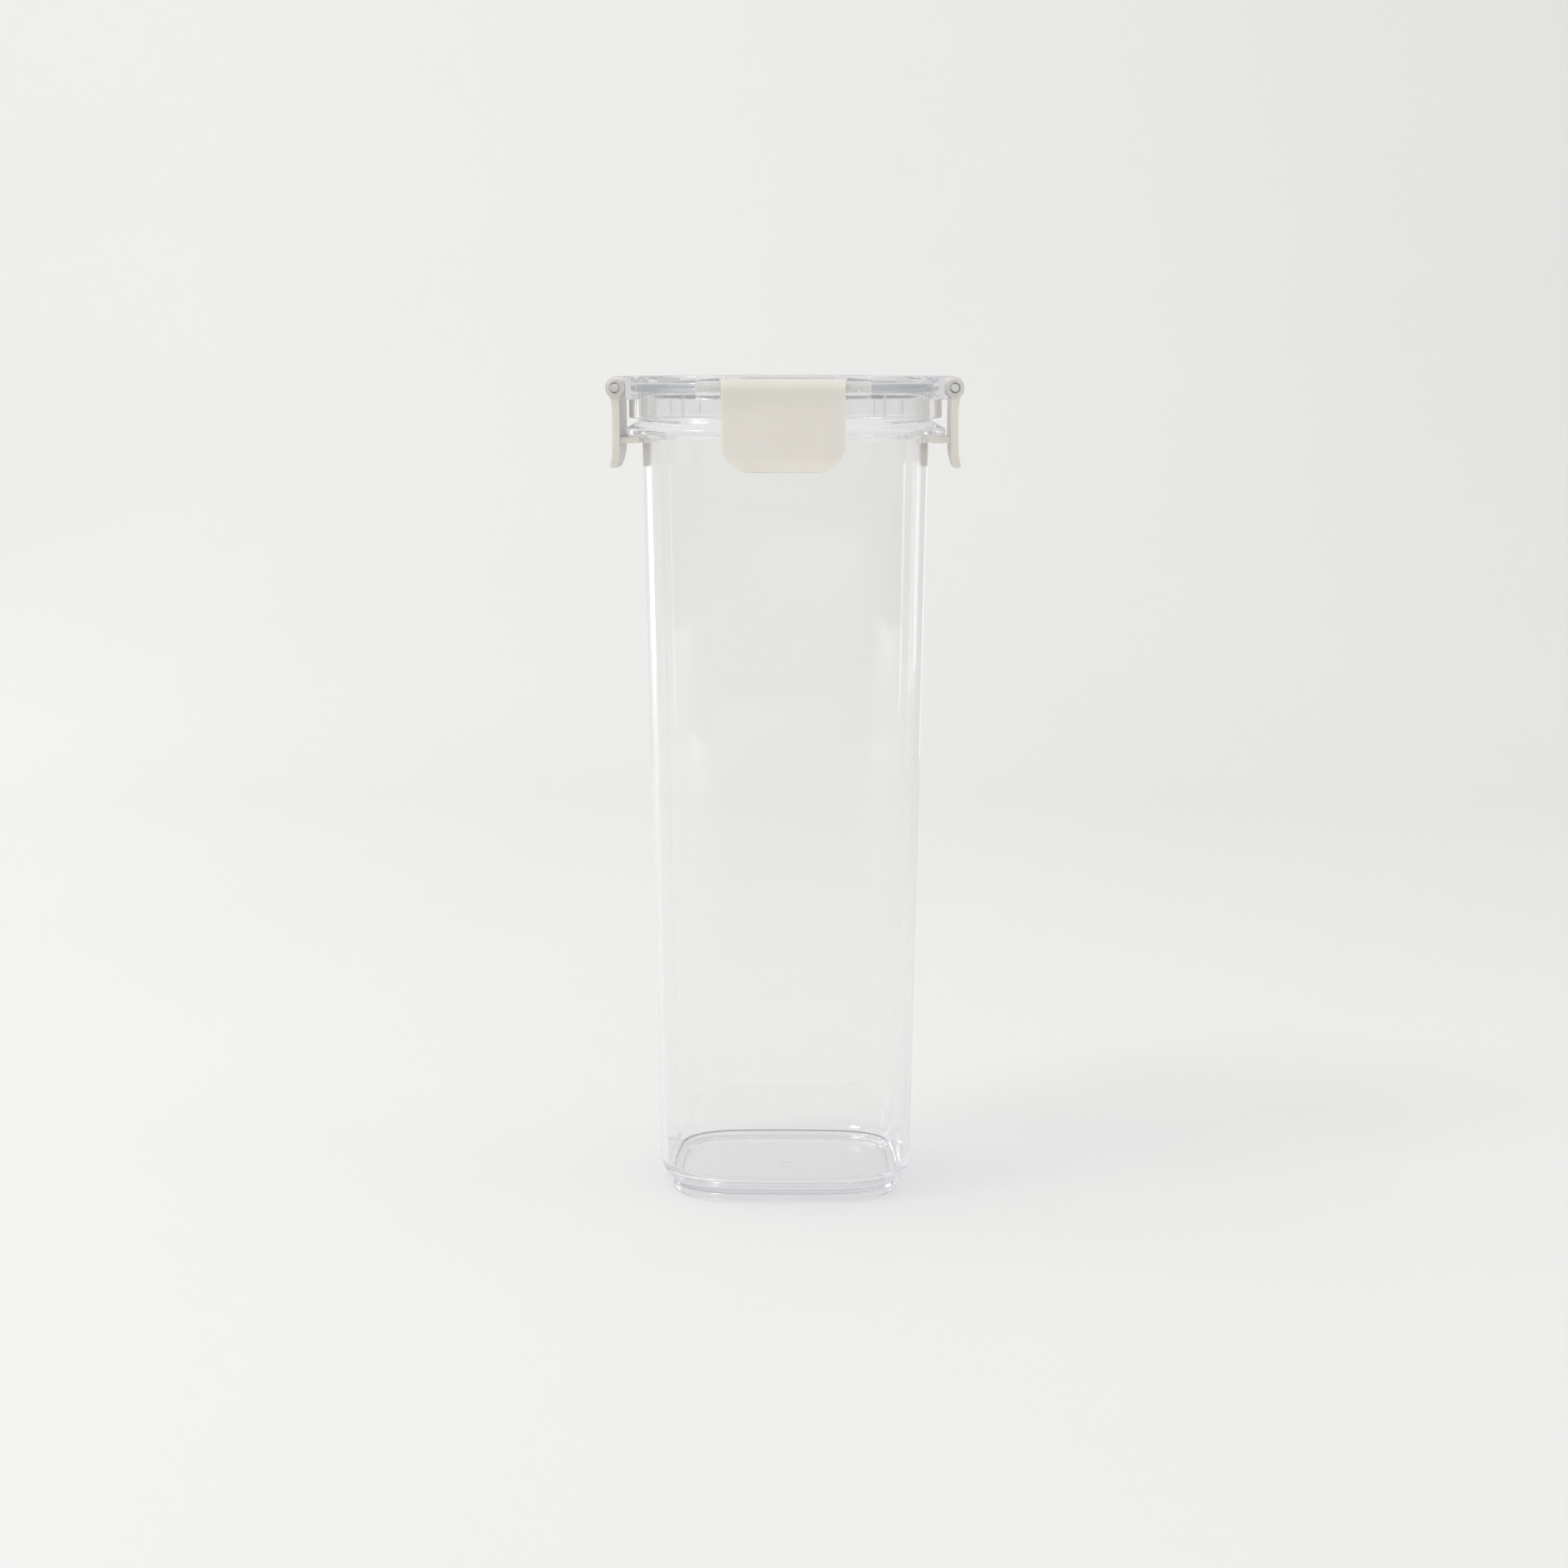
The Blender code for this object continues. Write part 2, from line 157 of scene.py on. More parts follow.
def finishPiece(bm, name, material=None):
    bmesh.ops.recalc_face_normals(bm, faces=bm.faces[:])
    mesh = bpy.data.meshes.new(name)
    bm.to_mesh(mesh)
    bm.free()
    shadeSmooth(mesh)
    if material:
        mesh.materials.append(material)
    piece = bpy.data.objects.new(name, mesh)
    bpy.context.scene.collection.objects.link(piece)
    return piece


def joinOrCut(piece, operation, tool):
    step = piece.modifiers.new("join or cut", "BOOLEAN")
    step.operation = operation
    step.solver = "EXACT"
    step.object = tool
    seen = piece.evaluated_get(bpy.context.evaluated_depsgraph_get())
    mesh = bpy.data.meshes.new_from_object(seen)
    piece.modifiers.remove(step)
    piece.data = mesh
    shadeSmooth(mesh)
    bpy.data.objects.remove(tool)


def roundEdges(piece, width, segments=3, angle=40):
    step = piece.modifiers.new("rounding", "BEVEL")
    step.width = width
    step.segments = segments
    step.limit_method = "ANGLE"
    step.angle_limit = math.radians(angle)


def evenShading(piece):
    step = piece.modifiers.new("even shading", "WEIGHTED_NORMAL")
    step.keep_sharp = True


def besidePin(side):
    # takes a piece drawn about the pin, with -Y outwards, to its side of the lid
    return Matrix.Rotation(math.radians(sides[side]), 4, "Z") @ Matrix.Translation((0, -pinOut, pinHeight))


def newMaterial(name):
    made = bpy.data.materials.new(name)
    made.use_nodes = True
    nodes = made.node_tree.nodes
    links = made.node_tree.links
    shader = nodes["Principled BSDF"]
    coords = nodes.new("ShaderNodeTexCoord")
    return made, nodes, links, shader, coords.outputs["Object"]


def addNoise(nodes, links, where, scale, detail=2.0, stretch=None):
    noise = nodes.new("ShaderNodeTexNoise")
    noise.inputs["Scale"].default_value = scale
    noise.inputs["Detail"].default_value = detail
    if stretch:
        mapping = nodes.new("ShaderNodeMapping")
        mapping.inputs["Scale"].default_value = stretch
        links.new(where, mapping.inputs["Vector"])
        where = mapping.outputs["Vector"]
    links.new(where, noise.inputs["Vector"])
    return noise.outputs["Fac"]


def addMottle(nodes, links, where, shader, look):
    # two close colours in patches that run into each other
    mottle = addNoise(nodes, links, where, look["mottleScale"], look["mottleDetail"])
    ramp = nodes.new("ShaderNodeValToRGB")
    for stop, (position, colour) in zip(ramp.color_ramp.elements, look["mottle"]):
        stop.position = position
        stop.color = (*colour, 1)
    links.new(mottle, ramp.inputs["Fac"])
    links.new(ramp.outputs["Color"], shader.inputs["Base Color"])


def addRoughness(nodes, links, value, shader, rough, noiseSpan=(0.3, 0.7)):
    # most of a noise lies within noiseSpan, and is carried over to the two ends of rough
    ranged = nodes.new("ShaderNodeMapRange")
    ranged.inputs["From Min"].default_value = noiseSpan[0]
    ranged.inputs["From Max"].default_value = noiseSpan[1]
    ranged.inputs["To Min"].default_value = rough[0]
    ranged.inputs["To Max"].default_value = rough[1]
    links.new(value, ranged.inputs["Value"])
    links.new(ranged.outputs["Result"], shader.inputs["Roughness"])


def addBump(nodes, links, shader, heights):
    # heights are (value, strength, distance), the coarse one first
    normal = None
    for value, strength, distance in heights:
        bump = nodes.new("ShaderNodeBump")
        bump.inputs["Strength"].default_value = strength
        bump.inputs["Distance"].default_value = distance
        links.new(value, bump.inputs["Height"])
        if normal:
            links.new(normal, bump.inputs["Normal"])
        normal = bump.outputs["Normal"]
    links.new(normal, shader.inputs["Normal"])


def mixOn(nodes, links, factor, first, second):
    mix = nodes.new("ShaderNodeMixShader")
    links.new(factor, mix.inputs["Fac"])
    links.new(first, mix.inputs[1])
    links.new(second, mix.inputs[2])
    return mix.outputs["Shader"]


def letLightThrough(nodes, links, shader, tint, deepest=9):
    # light on its way to the floor goes straight through, a little dimmed at each face,
    # and so does light caught inside the plastic after many turns
    path = nodes.new("ShaderNodeLightPath")
    clear = nodes.new("ShaderNodeBsdfTransparent")
    clear.inputs["Color"].default_value = (*tint, 1)
    clearer = nodes.new("ShaderNodeBsdfTransparent")
    clearer.inputs["Color"].default_value = (*[(1 + 2 * part) / 3 for part in tint], 1)
    straight = nodes.new("ShaderNodeBsdfRefraction")
    straight.inputs["IOR"].default_value = 1.0
    straight.inputs["Roughness"].default_value = 0.0
    caught = nodes.new("ShaderNodeMath")
    caught.operation = "GREATER_THAN"
    caught.inputs[1].default_value = deepest
    links.new(path.outputs["Ray Depth"], caught.inputs[0])
    seen = mixOn(nodes, links, caught.outputs["Value"], shader.outputs["BSDF"], straight.outputs["BSDF"])
    seen = mixOn(nodes, links, path.outputs["Is Diffuse Ray"], seen, clearer.outputs["BSDF"])
    seen = mixOn(nodes, links, path.outputs["Is Shadow Ray"], seen, clear.outputs["BSDF"])
    links.new(seen, nodes["Material Output"].inputs["Surface"])


def addDepthTint(nodes, links, colour, density):
    absorb = nodes.new("ShaderNodeVolumeAbsorption")
    absorb.inputs["Color"].default_value = (*colour, 1)
    absorb.inputs["Density"].default_value = density
    links.new(absorb.outputs["Volume"], nodes["Material Output"].inputs["Volume"])


clearPlastic = {
    "colour": (0.986, 0.986, 0.985),
    "ior": 1.56,
    "shadowTint": (0.935, 0.940, 0.948),
    "depthColour": (0.22, 0.22, 0.40),
    "depthDensity": 4.5,             # per metre
    "waveScale": 22.0,               # slow unevenness of the moulded walls
    "waveDetail": 1.0,
    "waveStretch": (1.0, 1.0, 0.45),
    "waveHeight": 0.0000003,
    "wipeScale": 420.0,              # faint marks of handling in the gloss
    "wipeDetail": 4.0,
    "wipeStretch": (1.0, 1.0, 0.12),
    "bodyRough": (0.0, 0.006),
    "lidRough": (0.0, 0.010),
}


def makeClearPlastic(name, rough):
    look = clearPlastic
    made, nodes, links, shader, where = newMaterial(name)
    shader.inputs["Base Color"].default_value = (*look["colour"], 1)
    shader.inputs["Transmission Weight"].default_value = 1.0
    shader.inputs["IOR"].default_value = look["ior"]
    wipe = addNoise(nodes, links, where, look["wipeScale"], look["wipeDetail"], look["wipeStretch"])
    addRoughness(nodes, links, wipe, shader, rough)
    wave = addNoise(nodes, links, where, look["waveScale"], look["waveDetail"], look["waveStretch"])
    addBump(nodes, links, shader, [(wave, 1.0, look["waveHeight"])])
    letLightThrough(nodes, links, shader, look["shadowTint"])
    addDepthTint(nodes, links, look["depthColour"], look["depthDensity"])
    return made


frostedPlastic = {
    "colour": (0.800, 0.790, 0.760),
    "clearness": 0.45,
    "ior": 1.50,
    "shadowTint": (0.80, 0.80, 0.79),
    "rough": (0.16, 0.28),
    "grainScale": 900.0,
    "grainStrength": 0.5,
    "grainHeight": 0.000010,
}


def makePinPlastic():
    look = frostedPlastic
    made, nodes, links, shader, where = newMaterial("frostedPlasticPin")
    shader.inputs["Base Color"].default_value = (*look["colour"], 1)
    shader.inputs["Transmission Weight"].default_value = look["clearness"]
    shader.inputs["IOR"].default_value = look["ior"]
    grain = addNoise(nodes, links, where, look["grainScale"])
    addRoughness(nodes, links, grain, shader, look["rough"])
    addBump(nodes, links, shader, [(grain, look["grainStrength"], look["grainHeight"])])
    letLightThrough(nodes, links, shader, look["shadowTint"])
    return made


ivoryPlastic = {
    "mottle": [(0.32, (0.712, 0.687, 0.634)), (0.70, (0.736, 0.713, 0.662))],
    "mottleScale": 55.0,
    "mottleDetail": 3.0,
    "rough": (0.36, 0.46),
    "gloss": 0.42,
    "softness": 0.40,                # how much light goes in and comes out again
    "softReach": (1.0, 0.8, 0.55),
    "softDepth": 0.0025,
    "grainScale": 3200.0,
    "grainStrength": 0.5,
    "grainHeight": 0.000012,
    "sinkScale": 75.0,               # shallow hollows where the moulding cooled
    "sinkDetail": 1.0,
    "sinkStrength": 0.6,
    "sinkHeight": 0.00004,
}


def makeIvoryPlastic():
    look = ivoryPlastic
    made, nodes, links, shader, where = newMaterial("ivoryPlastic")
    addMottle(nodes, links, where, shader, look)
    grain = addNoise(nodes, links, where, look["grainScale"])
    addRoughness(nodes, links, grain, shader, look["rough"])
    shader.inputs["Specular IOR Level"].default_value = look["gloss"]
    shader.inputs["Subsurface Weight"].default_value = look["softness"]
    shader.inputs["Subsurface Radius"].default_value = look["softReach"]
    shader.inputs["Subsurface Scale"].default_value = look["softDepth"]
    sink = addNoise(nodes, links, where, look["sinkScale"], look["sinkDetail"])
    addBump(nodes, links, shader, [(sink, look["sinkStrength"], look["sinkHeight"]),
                                   (grain, look["grainStrength"], look["grainHeight"])])
    return made


siliconeRubber = {
    "mottle": [(0.35, (0.74, 0.75, 0.77)), (0.68, (0.80, 0.81, 0.82))],      # rubber, and its dust
    "mottleScale": 90.0,
    "mottleDetail": 3.0,
    "clearness": 0.85,
    "ior": 1.41,
    "shadowTint": (0.80, 0.81, 0.82),
    "rough": (0.34, 0.50),
    "grainScale": 1800.0,
    "grainStrength": 0.5,
    "grainHeight": 0.00002,
}


def makeSilicone():
    look = siliconeRubber
    made, nodes, links, shader, where = newMaterial("siliconeRubber")
    addMottle(nodes, links, where, shader, look)
    shader.inputs["Transmission Weight"].default_value = look["clearness"]
    shader.inputs["IOR"].default_value = look["ior"]
    grain = addNoise(nodes, links, where, look["grainScale"])
    addRoughness(nodes, links, grain, shader, look["rough"])
    addBump(nodes, links, shader, [(grain, look["grainStrength"], look["grainHeight"])])
    letLightThrough(nodes, links, shader, look["shadowTint"])
    return made


bodyPlastic = makeClearPlastic("clearPlasticBody", clearPlastic["bodyRough"])
lidPlastic = makeClearPlastic("clearPlasticLid", clearPlastic["lidRough"])
pinPlastic = makePinPlastic()
ivory = makeIvoryPlastic()
silicone = makeSilicone()
print("materials made")


canister = {
    "wall": 0.0024,
    "neckWall": 0.0026,
    "wallTopHalf": 0.0507,           # just under the flange
    "wallFootHalf": 0.0454,          # just above the heel
    "footHalf": 0.0412,
    "footRing": 0.0030,
    "footHeight": 0.0048,
    "footRounding": 0.0008,
    "footFillet": 0.0007,
    "floorUnder": 0.0022,
    "underFillet": 0.0006,
    "floorTop": 0.0048,
    "floorFillet": 0.0080,
    "underEdge": 0.0030,             # width drawn of the floor's two faces, before their middles are closed
    "floorEdge": 0.0080,
    "flangeHalf": 0.0565,
    "flangeUnder": 0.2689,
    "flangeFillet": 0.0009,
    "beadHeight": 0.0026,            # the flange's round outer bead
    "beadRoundingLow": 0.00128,
    "beadRoundingHigh": 0.00120,
    "slopeTop": 0.2750,
    "slopeFillet": 0.0016,
    "rimRounding": 0.0009,
    "innerBend": 0.0080,             # the inside's two soft bends, and how far they lie below the outer ones
    "innerBendDrop": 0.0010,
    "gateRadius": 0.0026,
    "gateDepth": 0.0012,
    "gateHeight": 0.00025,
    "gateRounding": 0.00018,
    # the heel from the foot up to the wall: in from the wall, height, rounding
    "heel": [(0.0019, 0.0052, 0.0006), (0.0009, 0.0074, 0.0030), (0, 0.0124, 0.0120)],
}


def makeCanisterBody():
    size = canister
    neckHalf = plan["halfWidth"]
    bore = neckHalf - size["neckWall"]
    innerTop = size["wallTopHalf"] - size["wall"]
    innerFoot = size["wallFootHalf"] - size["wall"]
    footInner = size["footHalf"] - size["footRing"]
    beadTop = size["flangeUnder"] + size["beadHeight"]
    neckTop = bodyHigh.z
    heel = [(size["wallFootHalf"] - inwards, z, rounding) for inwards, z, rounding in size["heel"]]
    bm = bmesh.new()
    drawProfile(bm, [
        (footInner - size["underEdge"], size["floorUnder"], 0),
        (footInner, size["floorUnder"], size["underFillet"]),
        (footInner, 0, size["footRounding"]),
        (size["footHalf"], 0, size["footRounding"]),
        (size["footHalf"], size["footHeight"], size["footFillet"]),
        *heel,
        (size["wallTopHalf"], size["flangeUnder"], size["flangeFillet"]),
        (size["flangeHalf"], size["flangeUnder"], size["beadRoundingLow"]),
        (size["flangeHalf"], beadTop, size["beadRoundingHigh"]),
        (neckHalf, size["slopeTop"], size["slopeFillet"]),
        (neckHalf, neckTop, size["rimRounding"]),
        (bore, neckTop, size["rimRounding"]),
        (bore, size["slopeTop"] - size["innerBendDrop"], size["innerBend"]),
        (innerTop, size["flangeUnder"] - size["innerBendDrop"], size["innerBend"]),
        (innerFoot, size["floorTop"], size["floorFillet"]),
        (innerFoot - size["floorEdge"], size["floorTop"], 0),
    ])
    sweepRoundPlan(bm)
    capEnds(bm)
    body = finishPiece(bm, "canisterBody", bodyPlastic)
    joinOrCut(body, "UNION", makeGate())
    evenShading(body)
    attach(body, "canister")
    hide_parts("canister_body")


def makeGate():
    # round mark on the floor where the plastic was let in
    size = canister
    top = size["floorTop"] + size["gateHeight"]
    bm = bmesh.new()
    bmesh.ops.create_cone(bm, cap_ends=True, segments=48, radius1=size["gateRadius"],
                          radius2=size["gateRadius"], depth=size["gateDepth"])
    bmesh.ops.translate(bm, verts=bm.verts[:], vec=(0, 0, top - size["gateDepth"] / 2))
    rim = [e for e in bm.edges if all(v.co.z > size["floorTop"] for v in e.verts)]
    bevelEdges(bm, rim, size["gateRounding"])
    return finishPiece(bm, "gate")


makeCanisterBody()
print("canister body made")


lidSizes = {
    "plate": 0.0025,
    "skirtInner": 0.0527,
    "skirtOuter": 0.0552,
    "skirtRounding": 0.0005,
    "topRounding": 0.0009,
    "plugOuter": 0.0467,
    "plugWall": 0.0022,
    "plugRounding": 0.0008,
    "recessDepth": 0.0059,
    "recessRounding": 0.0007,
    "recessFillet": 0.0009,
    "panel": 0.0023,
    "panelEdge": 0.0060,             # width drawn of the panel's two faces, before their middles are closed
    "ribOffset": 0.0340,
    "ribWidth": 0.0008,
    "ribProud": 0.0008,
    "ribRoot": 0.0010,               # sunk in the skirt
    "ribStop": 0.0006,               # the rib ends this far above the skirt's edge
    "ribRounding": 0.0002,
    "lugWidth": 0.0082,
    "lugRadius": 0.0040,
    "lugSetback": 0.0008,
    "lugRoot": 0.0020,               # sunk in the skirt
    "lugRounding": 0.00035,
    "bayHalf": 0.0214,               # half the gap between the two lugs
    "padOut": 0.0554,                # the raised pad's face between the lugs
    "padDepth": 0.0022,
    "padOverlap": 0.0010,            # sunk in the lugs, both ends together
    "padRounding": 0.0004,
    "boreRadius": 0.0018,
    "boreLength": 0.080,
}


def makeLidShell():
    size = lidSizes
    top = lidHigh.z
    under = top - size["plate"]
    recess = size["plugOuter"] - size["plugWall"]
    recessFloor = top - size["recessDepth"]
    panelUnder = recessFloor - size["panel"]
    bm = bmesh.new()
    drawProfile(bm, [
        (size["plugOuter"] - size["panelEdge"], panelUnder, 0),
        (size["plugOuter"], panelUnder, size["plugRounding"]),
        (size["plugOuter"], under, size["skirtRounding"]),
        (size["skirtInner"], under, size["skirtRounding"]),
        (size["skirtInner"], lidLow.z, size["skirtRounding"]),
        (size["skirtOuter"], lidLow.z, size["skirtRounding"]),
        (size["skirtOuter"], top, size["topRounding"]),
        (recess, top, size["recessRounding"]),
        (recess, recessFloor, size["recessFillet"]),
        (recess - size["panelEdge"], recessFloor, 0),
    ], steps=4)
    sweepRoundPlan(bm)
    capEnds(bm)
    return finishPiece(bm, "lidShell", lidPlastic)


def makeLug(side, end):
    size = lidSizes
    root = size["skirtOuter"] - size["lugRoot"] - pinOut
    tip = size["lugRadius"] - size["lugSetback"]
    shy = 0.00001                    # the two bevels of the round end stop this short of each other
    bm = drawBlock(size["lugWidth"], tip - root, 2 * size["lugRadius"], (0, -(tip + root) / 2, 0))
    outer = [e for e in bm.edges if all(v.co.y < hair - tip for v in e.verts) and runsAlong(e, 0)]
    bevelEdges(bm, outer, size["lugRadius"] - shy, segments=14)
    bmesh.ops.remove_doubles(bm, verts=bm.verts[:], dist=merging["lugRound"])
    rims = [e for e in bm.edges if min(v.co.y for v in e.verts) < -root - hair and not runsAlong(e, 0)]
    bevelEdges(bm, rims, size["lugRounding"])
    offset = (size["bayHalf"] + size["lugWidth"] / 2) * end
    bmesh.ops.translate(bm, verts=bm.verts[:], vec=(offset, 0, 0))
    bmesh.ops.transform(bm, matrix=besidePin(side), verts=bm.verts[:])
    return finishPiece(bm, "lug")


def makePad(side):
    size = lidSizes
    bm = drawBlock(2 * size["bayHalf"] + size["padOverlap"], size["padDepth"], 2 * size["lugRadius"])
    outer = [e for e in bm.edges if all(v.co.y < 0 for v in e.verts) and not runsAlong(e, 2)]
    bevelEdges(bm, outer, size["padRounding"])
    bmesh.ops.translate(bm, verts=bm.verts[:], vec=(0, pinOut - size["padOut"] + size["padDepth"] / 2, 0))
    bmesh.ops.transform(bm, matrix=besidePin(side), verts=bm.verts[:])
    return finishPiece(bm, "pad")


def makeRib(side, end):
    # upright rib on the skirt's inside, where the outline starts to turn the corner
    size = lidSizes
    radius = plan["cornerRadius"] + size["skirtInner"] - plan["halfWidth"]
    lean = math.asin((size["ribOffset"] - cornerCentre) / radius)
    height = bodyHigh.z - lidLow.z - size["ribStop"]
    depth = size["ribProud"] + size["ribRoot"]
    bm = drawBlock(size["ribWidth"], depth, height)
    inner = [e for e in bm.edges if all(v.co.y > 0 for v in e.verts)]
    bevelEdges(bm, inner, size["ribRounding"])
    out = Matrix.Translation((0, size["ribProud"] - radius - depth / 2, bodyHigh.z - height / 2))
    corner = Matrix.Translation((end * cornerCentre, -cornerCentre, 0)) @ Matrix.Rotation(end * lean, 4, "Z")
    turned = Matrix.Rotation(math.radians(sides[side]), 4, "Z")
    bmesh.ops.transform(bm, matrix=turned @ corner @ out, verts=bm.verts[:])
    return finishPiece(bm, "rib")


def makeLidBore(side):
    bm = drawRod(lidSizes["boreRadius"], lidSizes["boreLength"])
    bmesh.ops.transform(bm, matrix=besidePin(side), verts=bm.verts[:])
    return finishPiece(bm, "lidBore")


def makeLid():
    lid = makeLidShell()
    for side in sides:
        joinOrCut(lid, "UNION", makePad(side))
        for end in (-1, 1):
            joinOrCut(lid, "UNION", makeLug(side, end))
            joinOrCut(lid, "UNION", makeRib(side, end))
        joinOrCut(lid, "DIFFERENCE", makeLidBore(side))
    evenShading(lid)
    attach(lid, "lid")
    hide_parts("lid")


makeLid()
print("lid made")


seal = {
    "plugGap": 0.0003,
    "rounding": 0.0007,
    "grooveHalf": 0.0005,
    "grooveDepth": 0.0006,
    "grooveRounding": 0.0004,
}


def makeSealRing():
    inner = lidSizes["plugOuter"] + seal["plugGap"]
    outer = sealHigh.x
    low = sealLow.z
    high = sealHigh.z
    middle = (low + high) / 2
    bm = bmesh.new()
    drawProfile(bm, [
        (inner, middle, 0),
        (inner, low, seal["rounding"]),
        (outer, low, seal["rounding"]),
        (outer, middle - seal["grooveHalf"], seal["grooveRounding"]),
        (outer - seal["grooveDepth"], middle, seal["grooveRounding"]),
        (outer, middle + seal["grooveHalf"], seal["grooveRounding"]),
        (outer, high, seal["rounding"]),
        (inner, high, seal["rounding"]),
        (inner, middle, 0),
    ], steps=4)
    sweepRoundPlan(bm)
    ring = finishPiece(bm, "sealRing", silicone)
    evenShading(ring)
    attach(ring, "lid")
    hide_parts("gasket")


makeSealRing()
print("seal ring made")


latch = {
    "width": 0.0420,
    "drop": 0.0282,                  # from the pin's axis to the lower end
    "thickness": 0.0026,
    "headRadius": 0.0031,
    "neckSlope": 15,                 # degrees
    "neckFillet": 0.018,
    "innerFillet": 0.0010,
    "faceOutTop": 0.0017,            # face's distance out from the pin's axis, at the head
    "faceOutEnd": 0.0018,
    "faceHollow": 0.0003,
    "hollowRadius": 0.180,
    "lipHeight": 0.0044,             # the lower end that a fingertip pulls, bent outwards
    "lipOut": 0.0012,
    "lipRadius": 0.0080,
    "endRounding": 0.0007,
    "cornerRadius": 0.0095,
    "hookTop": 0.2685,
    "hookTip": 0.0511,
    "hookThickness": 0.0021,
    "hookWidth": 0.0390,
    "boreRadius": 0.0018,
    "boreSpare": 0.0100,             # the boring tool is this much longer than the latch is wide
    "edgeRounding": 0.0006,
    "outlineDepth": 0.030,           # of the block that gives the front view
    "outlineSpare": 0.0020,          # its height above the head
}


def makeLatchPlate():
    # side-on outline round the head, down the hollow face and back up; drawn with -Y outwards
    size = latch
    radius = size["headRadius"]
    outTop = size["faceOutTop"]
    turn = radius * math.tan(math.pi / 8)        # where a slope of 45 degrees leaves the round head
    slope = math.radians(size["neckSlope"])
    neckTop = radius * math.tan(slope / 2)       # where the neck's slope leaves it, at the front
    neckDown = neckTop + (radius - outTop) / math.tan(slope)
    bottom = -size["drop"]
    lipTop = bottom + size["lipHeight"]
    outEnd = size["faceOutEnd"]
    outLip = outEnd + size["lipOut"]
    outMiddle = (outTop + outEnd) / 2 - size["faceHollow"]
    thick = size["thickness"]
    rows = [
        (0, radius, 0),
        (radius, radius, radius),
        (radius, -neckTop, radius),
        (outTop, -neckDown, size["neckFillet"]),
        (outMiddle, bottom / 2, size["hollowRadius"]),
        (outEnd, lipTop, size["lipRadius"]),
        (outLip, bottom, size["endRounding"]),
        (outLip - thick, bottom, size["endRounding"]),
        (outEnd - thick, lipTop, size["lipRadius"]),
        (outMiddle - thick, bottom / 2, size["hollowRadius"]),
        (outTop - thick, -turn - radius + thick - outTop, size["innerFillet"]),
        (-radius, -turn, radius),
        (-radius, radius, radius),
        (0, radius, 0),
    ]
    bm = bmesh.new()
    drawProfile(bm, rows, steps=10)
    bmesh.ops.rotate(bm, verts=bm.verts[:], cent=(0, 0, 0), matrix=Matrix.Rotation(-math.pi / 2, 3, "Z"))
    bmesh.ops.remove_doubles(bm, verts=bm.verts[:], dist=merging["outline"])
    face = bmesh.ops.contextual_create(bm, geom=bm.edges[:])["faces"]
    swept = bmesh.ops.extrude_face_region(bm, geom=face)
    spreadAlongX(bm, swept, size["width"])
    return finishPiece(bm, "latchPlate")


def makeHook():
    size = latch
    top = size["hookTop"] - pinHeight
    tip = pinOut - size["hookTip"]
    root = -(size["faceOutTop"] - size["faceHollow"]) + size["thickness"] / 2
    centre = (0, (tip + root) / 2, top - size["hookThickness"] / 2)
    return finishPiece(drawBlock(size["hookWidth"], tip - root, size["hookThickness"], centre), "hook")


def makeFrontOutline():
    # block with the latch's front view: straight sides, two round lower corners
    size = latch
    high = size["headRadius"] + size["outlineSpare"]
    centre = (0, 0, (high - size["drop"]) / 2)
    bm = drawBlock(size["width"], size["outlineDepth"], size["drop"] + high, centre)
    lower = [e for e in bm.edges if all(v.co.z < 0 for v in e.verts) and runsAlong(e, 1)]
    bevelEdges(bm, lower, size["cornerRadius"], segments=16)
    return finishPiece(bm, "frontOutline")


def makeLatches():
    pattern = makeLatchPlate()
    joinOrCut(pattern, "UNION", makeHook())
    joinOrCut(pattern, "INTERSECT", makeFrontOutline())
    bore = drawRod(latch["boreRadius"], latch["width"] + latch["boreSpare"], segments=40)
    joinOrCut(pattern, "DIFFERENCE", finishPiece(bore, "latchBore"))
    for side in sides:
        bm = bmesh.new()
        bm.from_mesh(pattern.data)
        bmesh.ops.remove_doubles(bm, verts=bm.verts[:], dist=merging["cut"])
        bmesh.ops.dissolve_degenerate(bm, dist=merging["sliver"], edges=bm.edges[:])
        bmesh.ops.transform(bm, matrix=besidePin(side), verts=bm.verts[:])
        piece = finishPiece(bm, "latch" + side.capitalize(), ivory)
        roundEdges(piece, latch["edgeRounding"])
        evenShading(piece)
        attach(piece, "latch_" + side)
        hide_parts("latch_" + side)
    bpy.data.objects.remove(pattern)


makeLatches()
print("latches made")


pin = {
    "radius": 0.0015,
    "endRounding": 0.0005,
}


def makeHingePins():
    length = pinHigh.y - pinLow.y
    for side in sides:
        bm = drawRod(pin["radius"], length)
        ends = [f for f in bm.faces if len(f.verts) > 4]         # the rod's sides have four each
        bevelEdges(bm, [e for f in ends for e in f.edges], pin["endRounding"], segments=4)
        bmesh.ops.transform(bm, matrix=besidePin(side), verts=bm.verts[:])
        piece = finishPiece(bm, "hingePin" + side.capitalize(), pinPlastic)
        evenShading(piece)
        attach(piece, "pin_" + side)
        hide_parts("hinge_pin_" + side)


makeHingePins()
print("hinge pins made")


backdropSheet = {
    "near": -3.0,
    "far": 2.2,
    "height": 3.0,
    "width": 7.0,
    "rounding": 1.2,                 # of the sweep from floor to wall
    "drop": 0.0002,                  # below the foot
    "mottle": [(0.0, (0.815, 0.812, 0.800)), (1.0, (0.835, 0.832, 0.822))],
    "mottleScale": 3.0,
    "mottleDetail": 3.0,
    "roughness": 0.75,
    "gloss": 0.15,
}


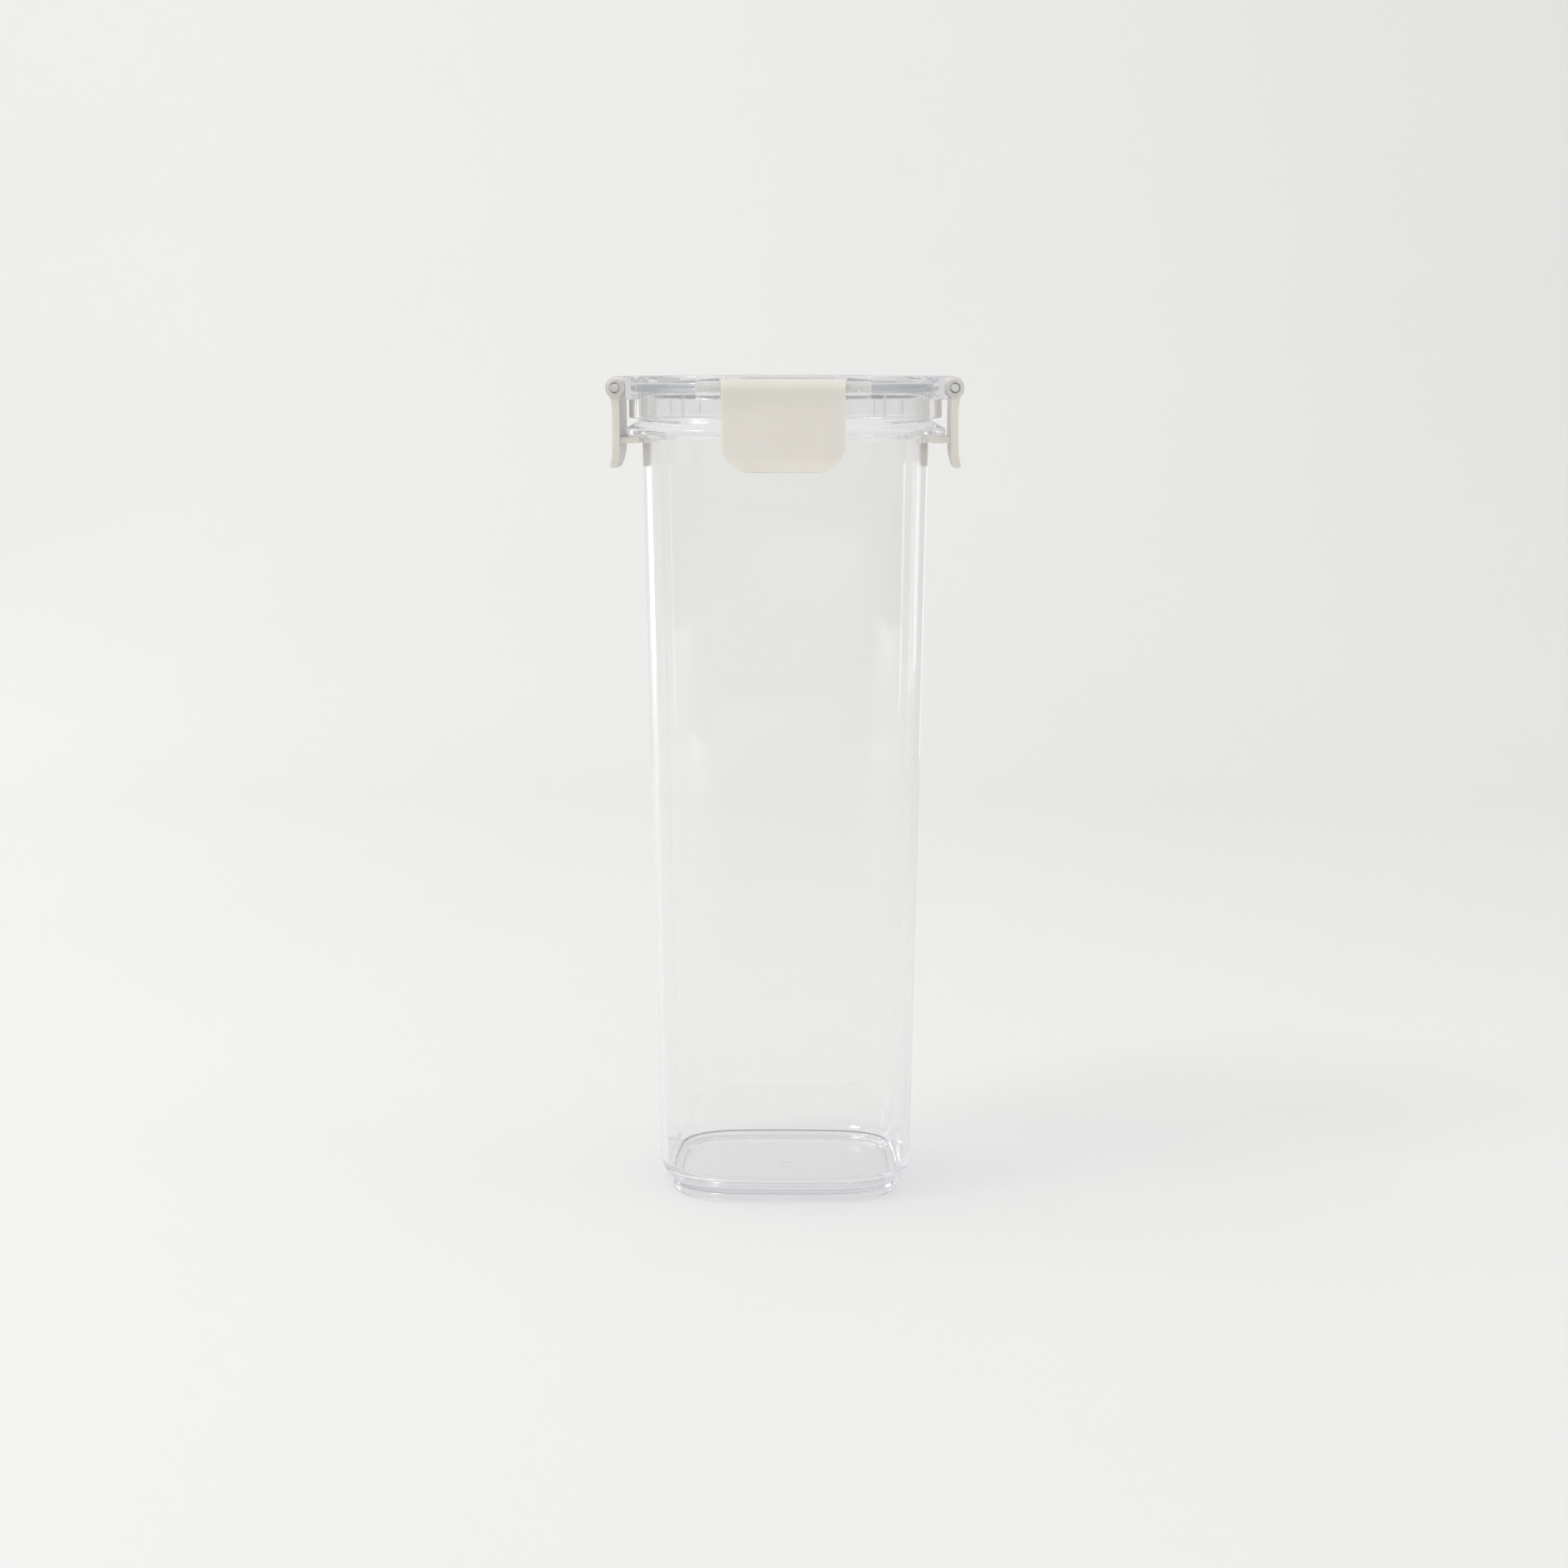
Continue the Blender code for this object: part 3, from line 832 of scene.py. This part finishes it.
def makeBackdrop():
    size = backdropSheet
    made, nodes, links, shader, where = newMaterial("paleBackdrop")
    addMottle(nodes, links, where, shader, size)
    shader.inputs["Roughness"].default_value = size["roughness"]
    shader.inputs["Specular IOR Level"].default_value = size["gloss"]
    bm = bmesh.new()
    floor = -size["drop"]
    points = [(0, size["near"], floor), (0, size["far"], floor), (0, size["far"], size["height"])]
    verts = [bmesh.ops.create_vert(bm, co=point)["vert"][0] for point in points]
    for first, second in zip(verts, verts[1:]):
        bmesh.ops.contextual_create(bm, geom=[first, second])
    bmesh.ops.bevel(bm, geom=[verts[1]], offset=size["rounding"], segments=32, profile=0.5,
                    affect="VERTICES", material=-1)
    swept = bmesh.ops.extrude_edge_only(bm, edges=bm.edges[:])
    spreadAlongX(bm, swept, size["width"])
    backdrop = finishPiece(bm, "backdrop", made)


lamps = {
    # name: place, aimed at, width, height, power in watts
    "keyLamp": ((-1.15, -0.75, 2.00), (0, 0, 0.10), 0.6, 0.6, 13.0),
    "wallLamp": ((-1.2, 0.4, 2.6), (-0.7, 2.2, 1.1), 1.6, 1.2, 15.5),
    "frontFill": ((0.6, -2.4, 0.9), (0, 0, 0.2), 1.6, 1.4, 7.0),
    "leftFill": ((-1.7, -0.5, 0.5), (0, 0, 0.2), 0.9, 0.9, 4.0),
    "rightFill": ((1.7, -0.5, 0.5), (0, 0, 0.2), 0.9, 0.9, 6.0),
    "topFill": ((0, 0.2, 2.6), (0, 0.2, 0), 2.5, 2.5, 2.5),
    "leftStrip": ((-1.10, 1.20, 0.35), (0, 0, 0.20), 0.25, 1.2, 1.4),
    "rightStrip": ((1.20, 1.10, 0.35), (0, 0, 0.20), 0.20, 1.2, 0.5),
}
mirrored = ("keyLamp", "leftStrip", "rightStrip")        # the lamps that show in the gloss


def makeLamps():
    for name, (place, aim, width, height, power) in lamps.items():
        data = bpy.data.lights.new(name, "AREA")
        data.shape = "RECTANGLE"
        data.size = width
        data.size_y = height
        data.energy = power
        lamp = bpy.data.objects.new(name, data)
        lamp.location = place
        lamp.rotation_euler = (Vector(aim) - Vector(place)).to_track_quat("-Z", "Y").to_euler()
        lamp.visible_glossy = lamp.visible_transmission = name in mirrored
        lamp.visible_camera = False
        bpy.context.scene.collection.objects.link(lamp)


room = {
    "colour": (0.90, 0.90, 0.90),
    "strength": 0.69,
}


def makeWorld():
    world = bpy.data.worlds.new("studioWorld")
    world.use_nodes = True
    background = world.node_tree.nodes["Background"]
    background.inputs["Color"].default_value = (*room["colour"], 1)
    background.inputs["Strength"].default_value = room["strength"]
    bpy.context.scene.world = world


view = {
    "distance": 1.135,
    "height": 0.2934,
    "turn": 0.9,                     # degrees round to the right of the front
    "pitch": 7.51,                   # degrees down
    "aside": -0.0007,                # sideways, to the left
    "lens": 72.9,                    # millimetres, and so is the sensor
    "sensor": 36,
    "nearest": 0.05,
    "farthest": 20,
}


def makeCamera():
    data = bpy.data.cameras.new("camera")
    data.sensor_width = view["sensor"]
    data.lens = view["lens"]
    data.clip_start = view["nearest"]
    data.clip_end = view["farthest"]
    camera = bpy.data.objects.new("camera", data)
    turned = Matrix.Rotation(math.radians(view["turn"]), 4, "Z")
    place = Matrix.Translation((view["aside"], -view["distance"], view["height"]))
    tilt = Matrix.Rotation(math.radians(90 - view["pitch"]), 4, "X")
    camera.matrix_world = turned @ place @ tilt
    bpy.context.scene.collection.objects.link(camera)
    bpy.context.scene.camera = camera


makeBackdrop()
makeLamps()
makeWorld()
makeCamera()
scene = bpy.context.scene
scene.view_settings.view_transform = "Standard"
scene.cycles.max_bounces = 32
scene.cycles.transmission_bounces = 28
scene.cycles.glossy_bounces = 24
scene.cycles.transparent_max_bounces = 32
print("studio made")
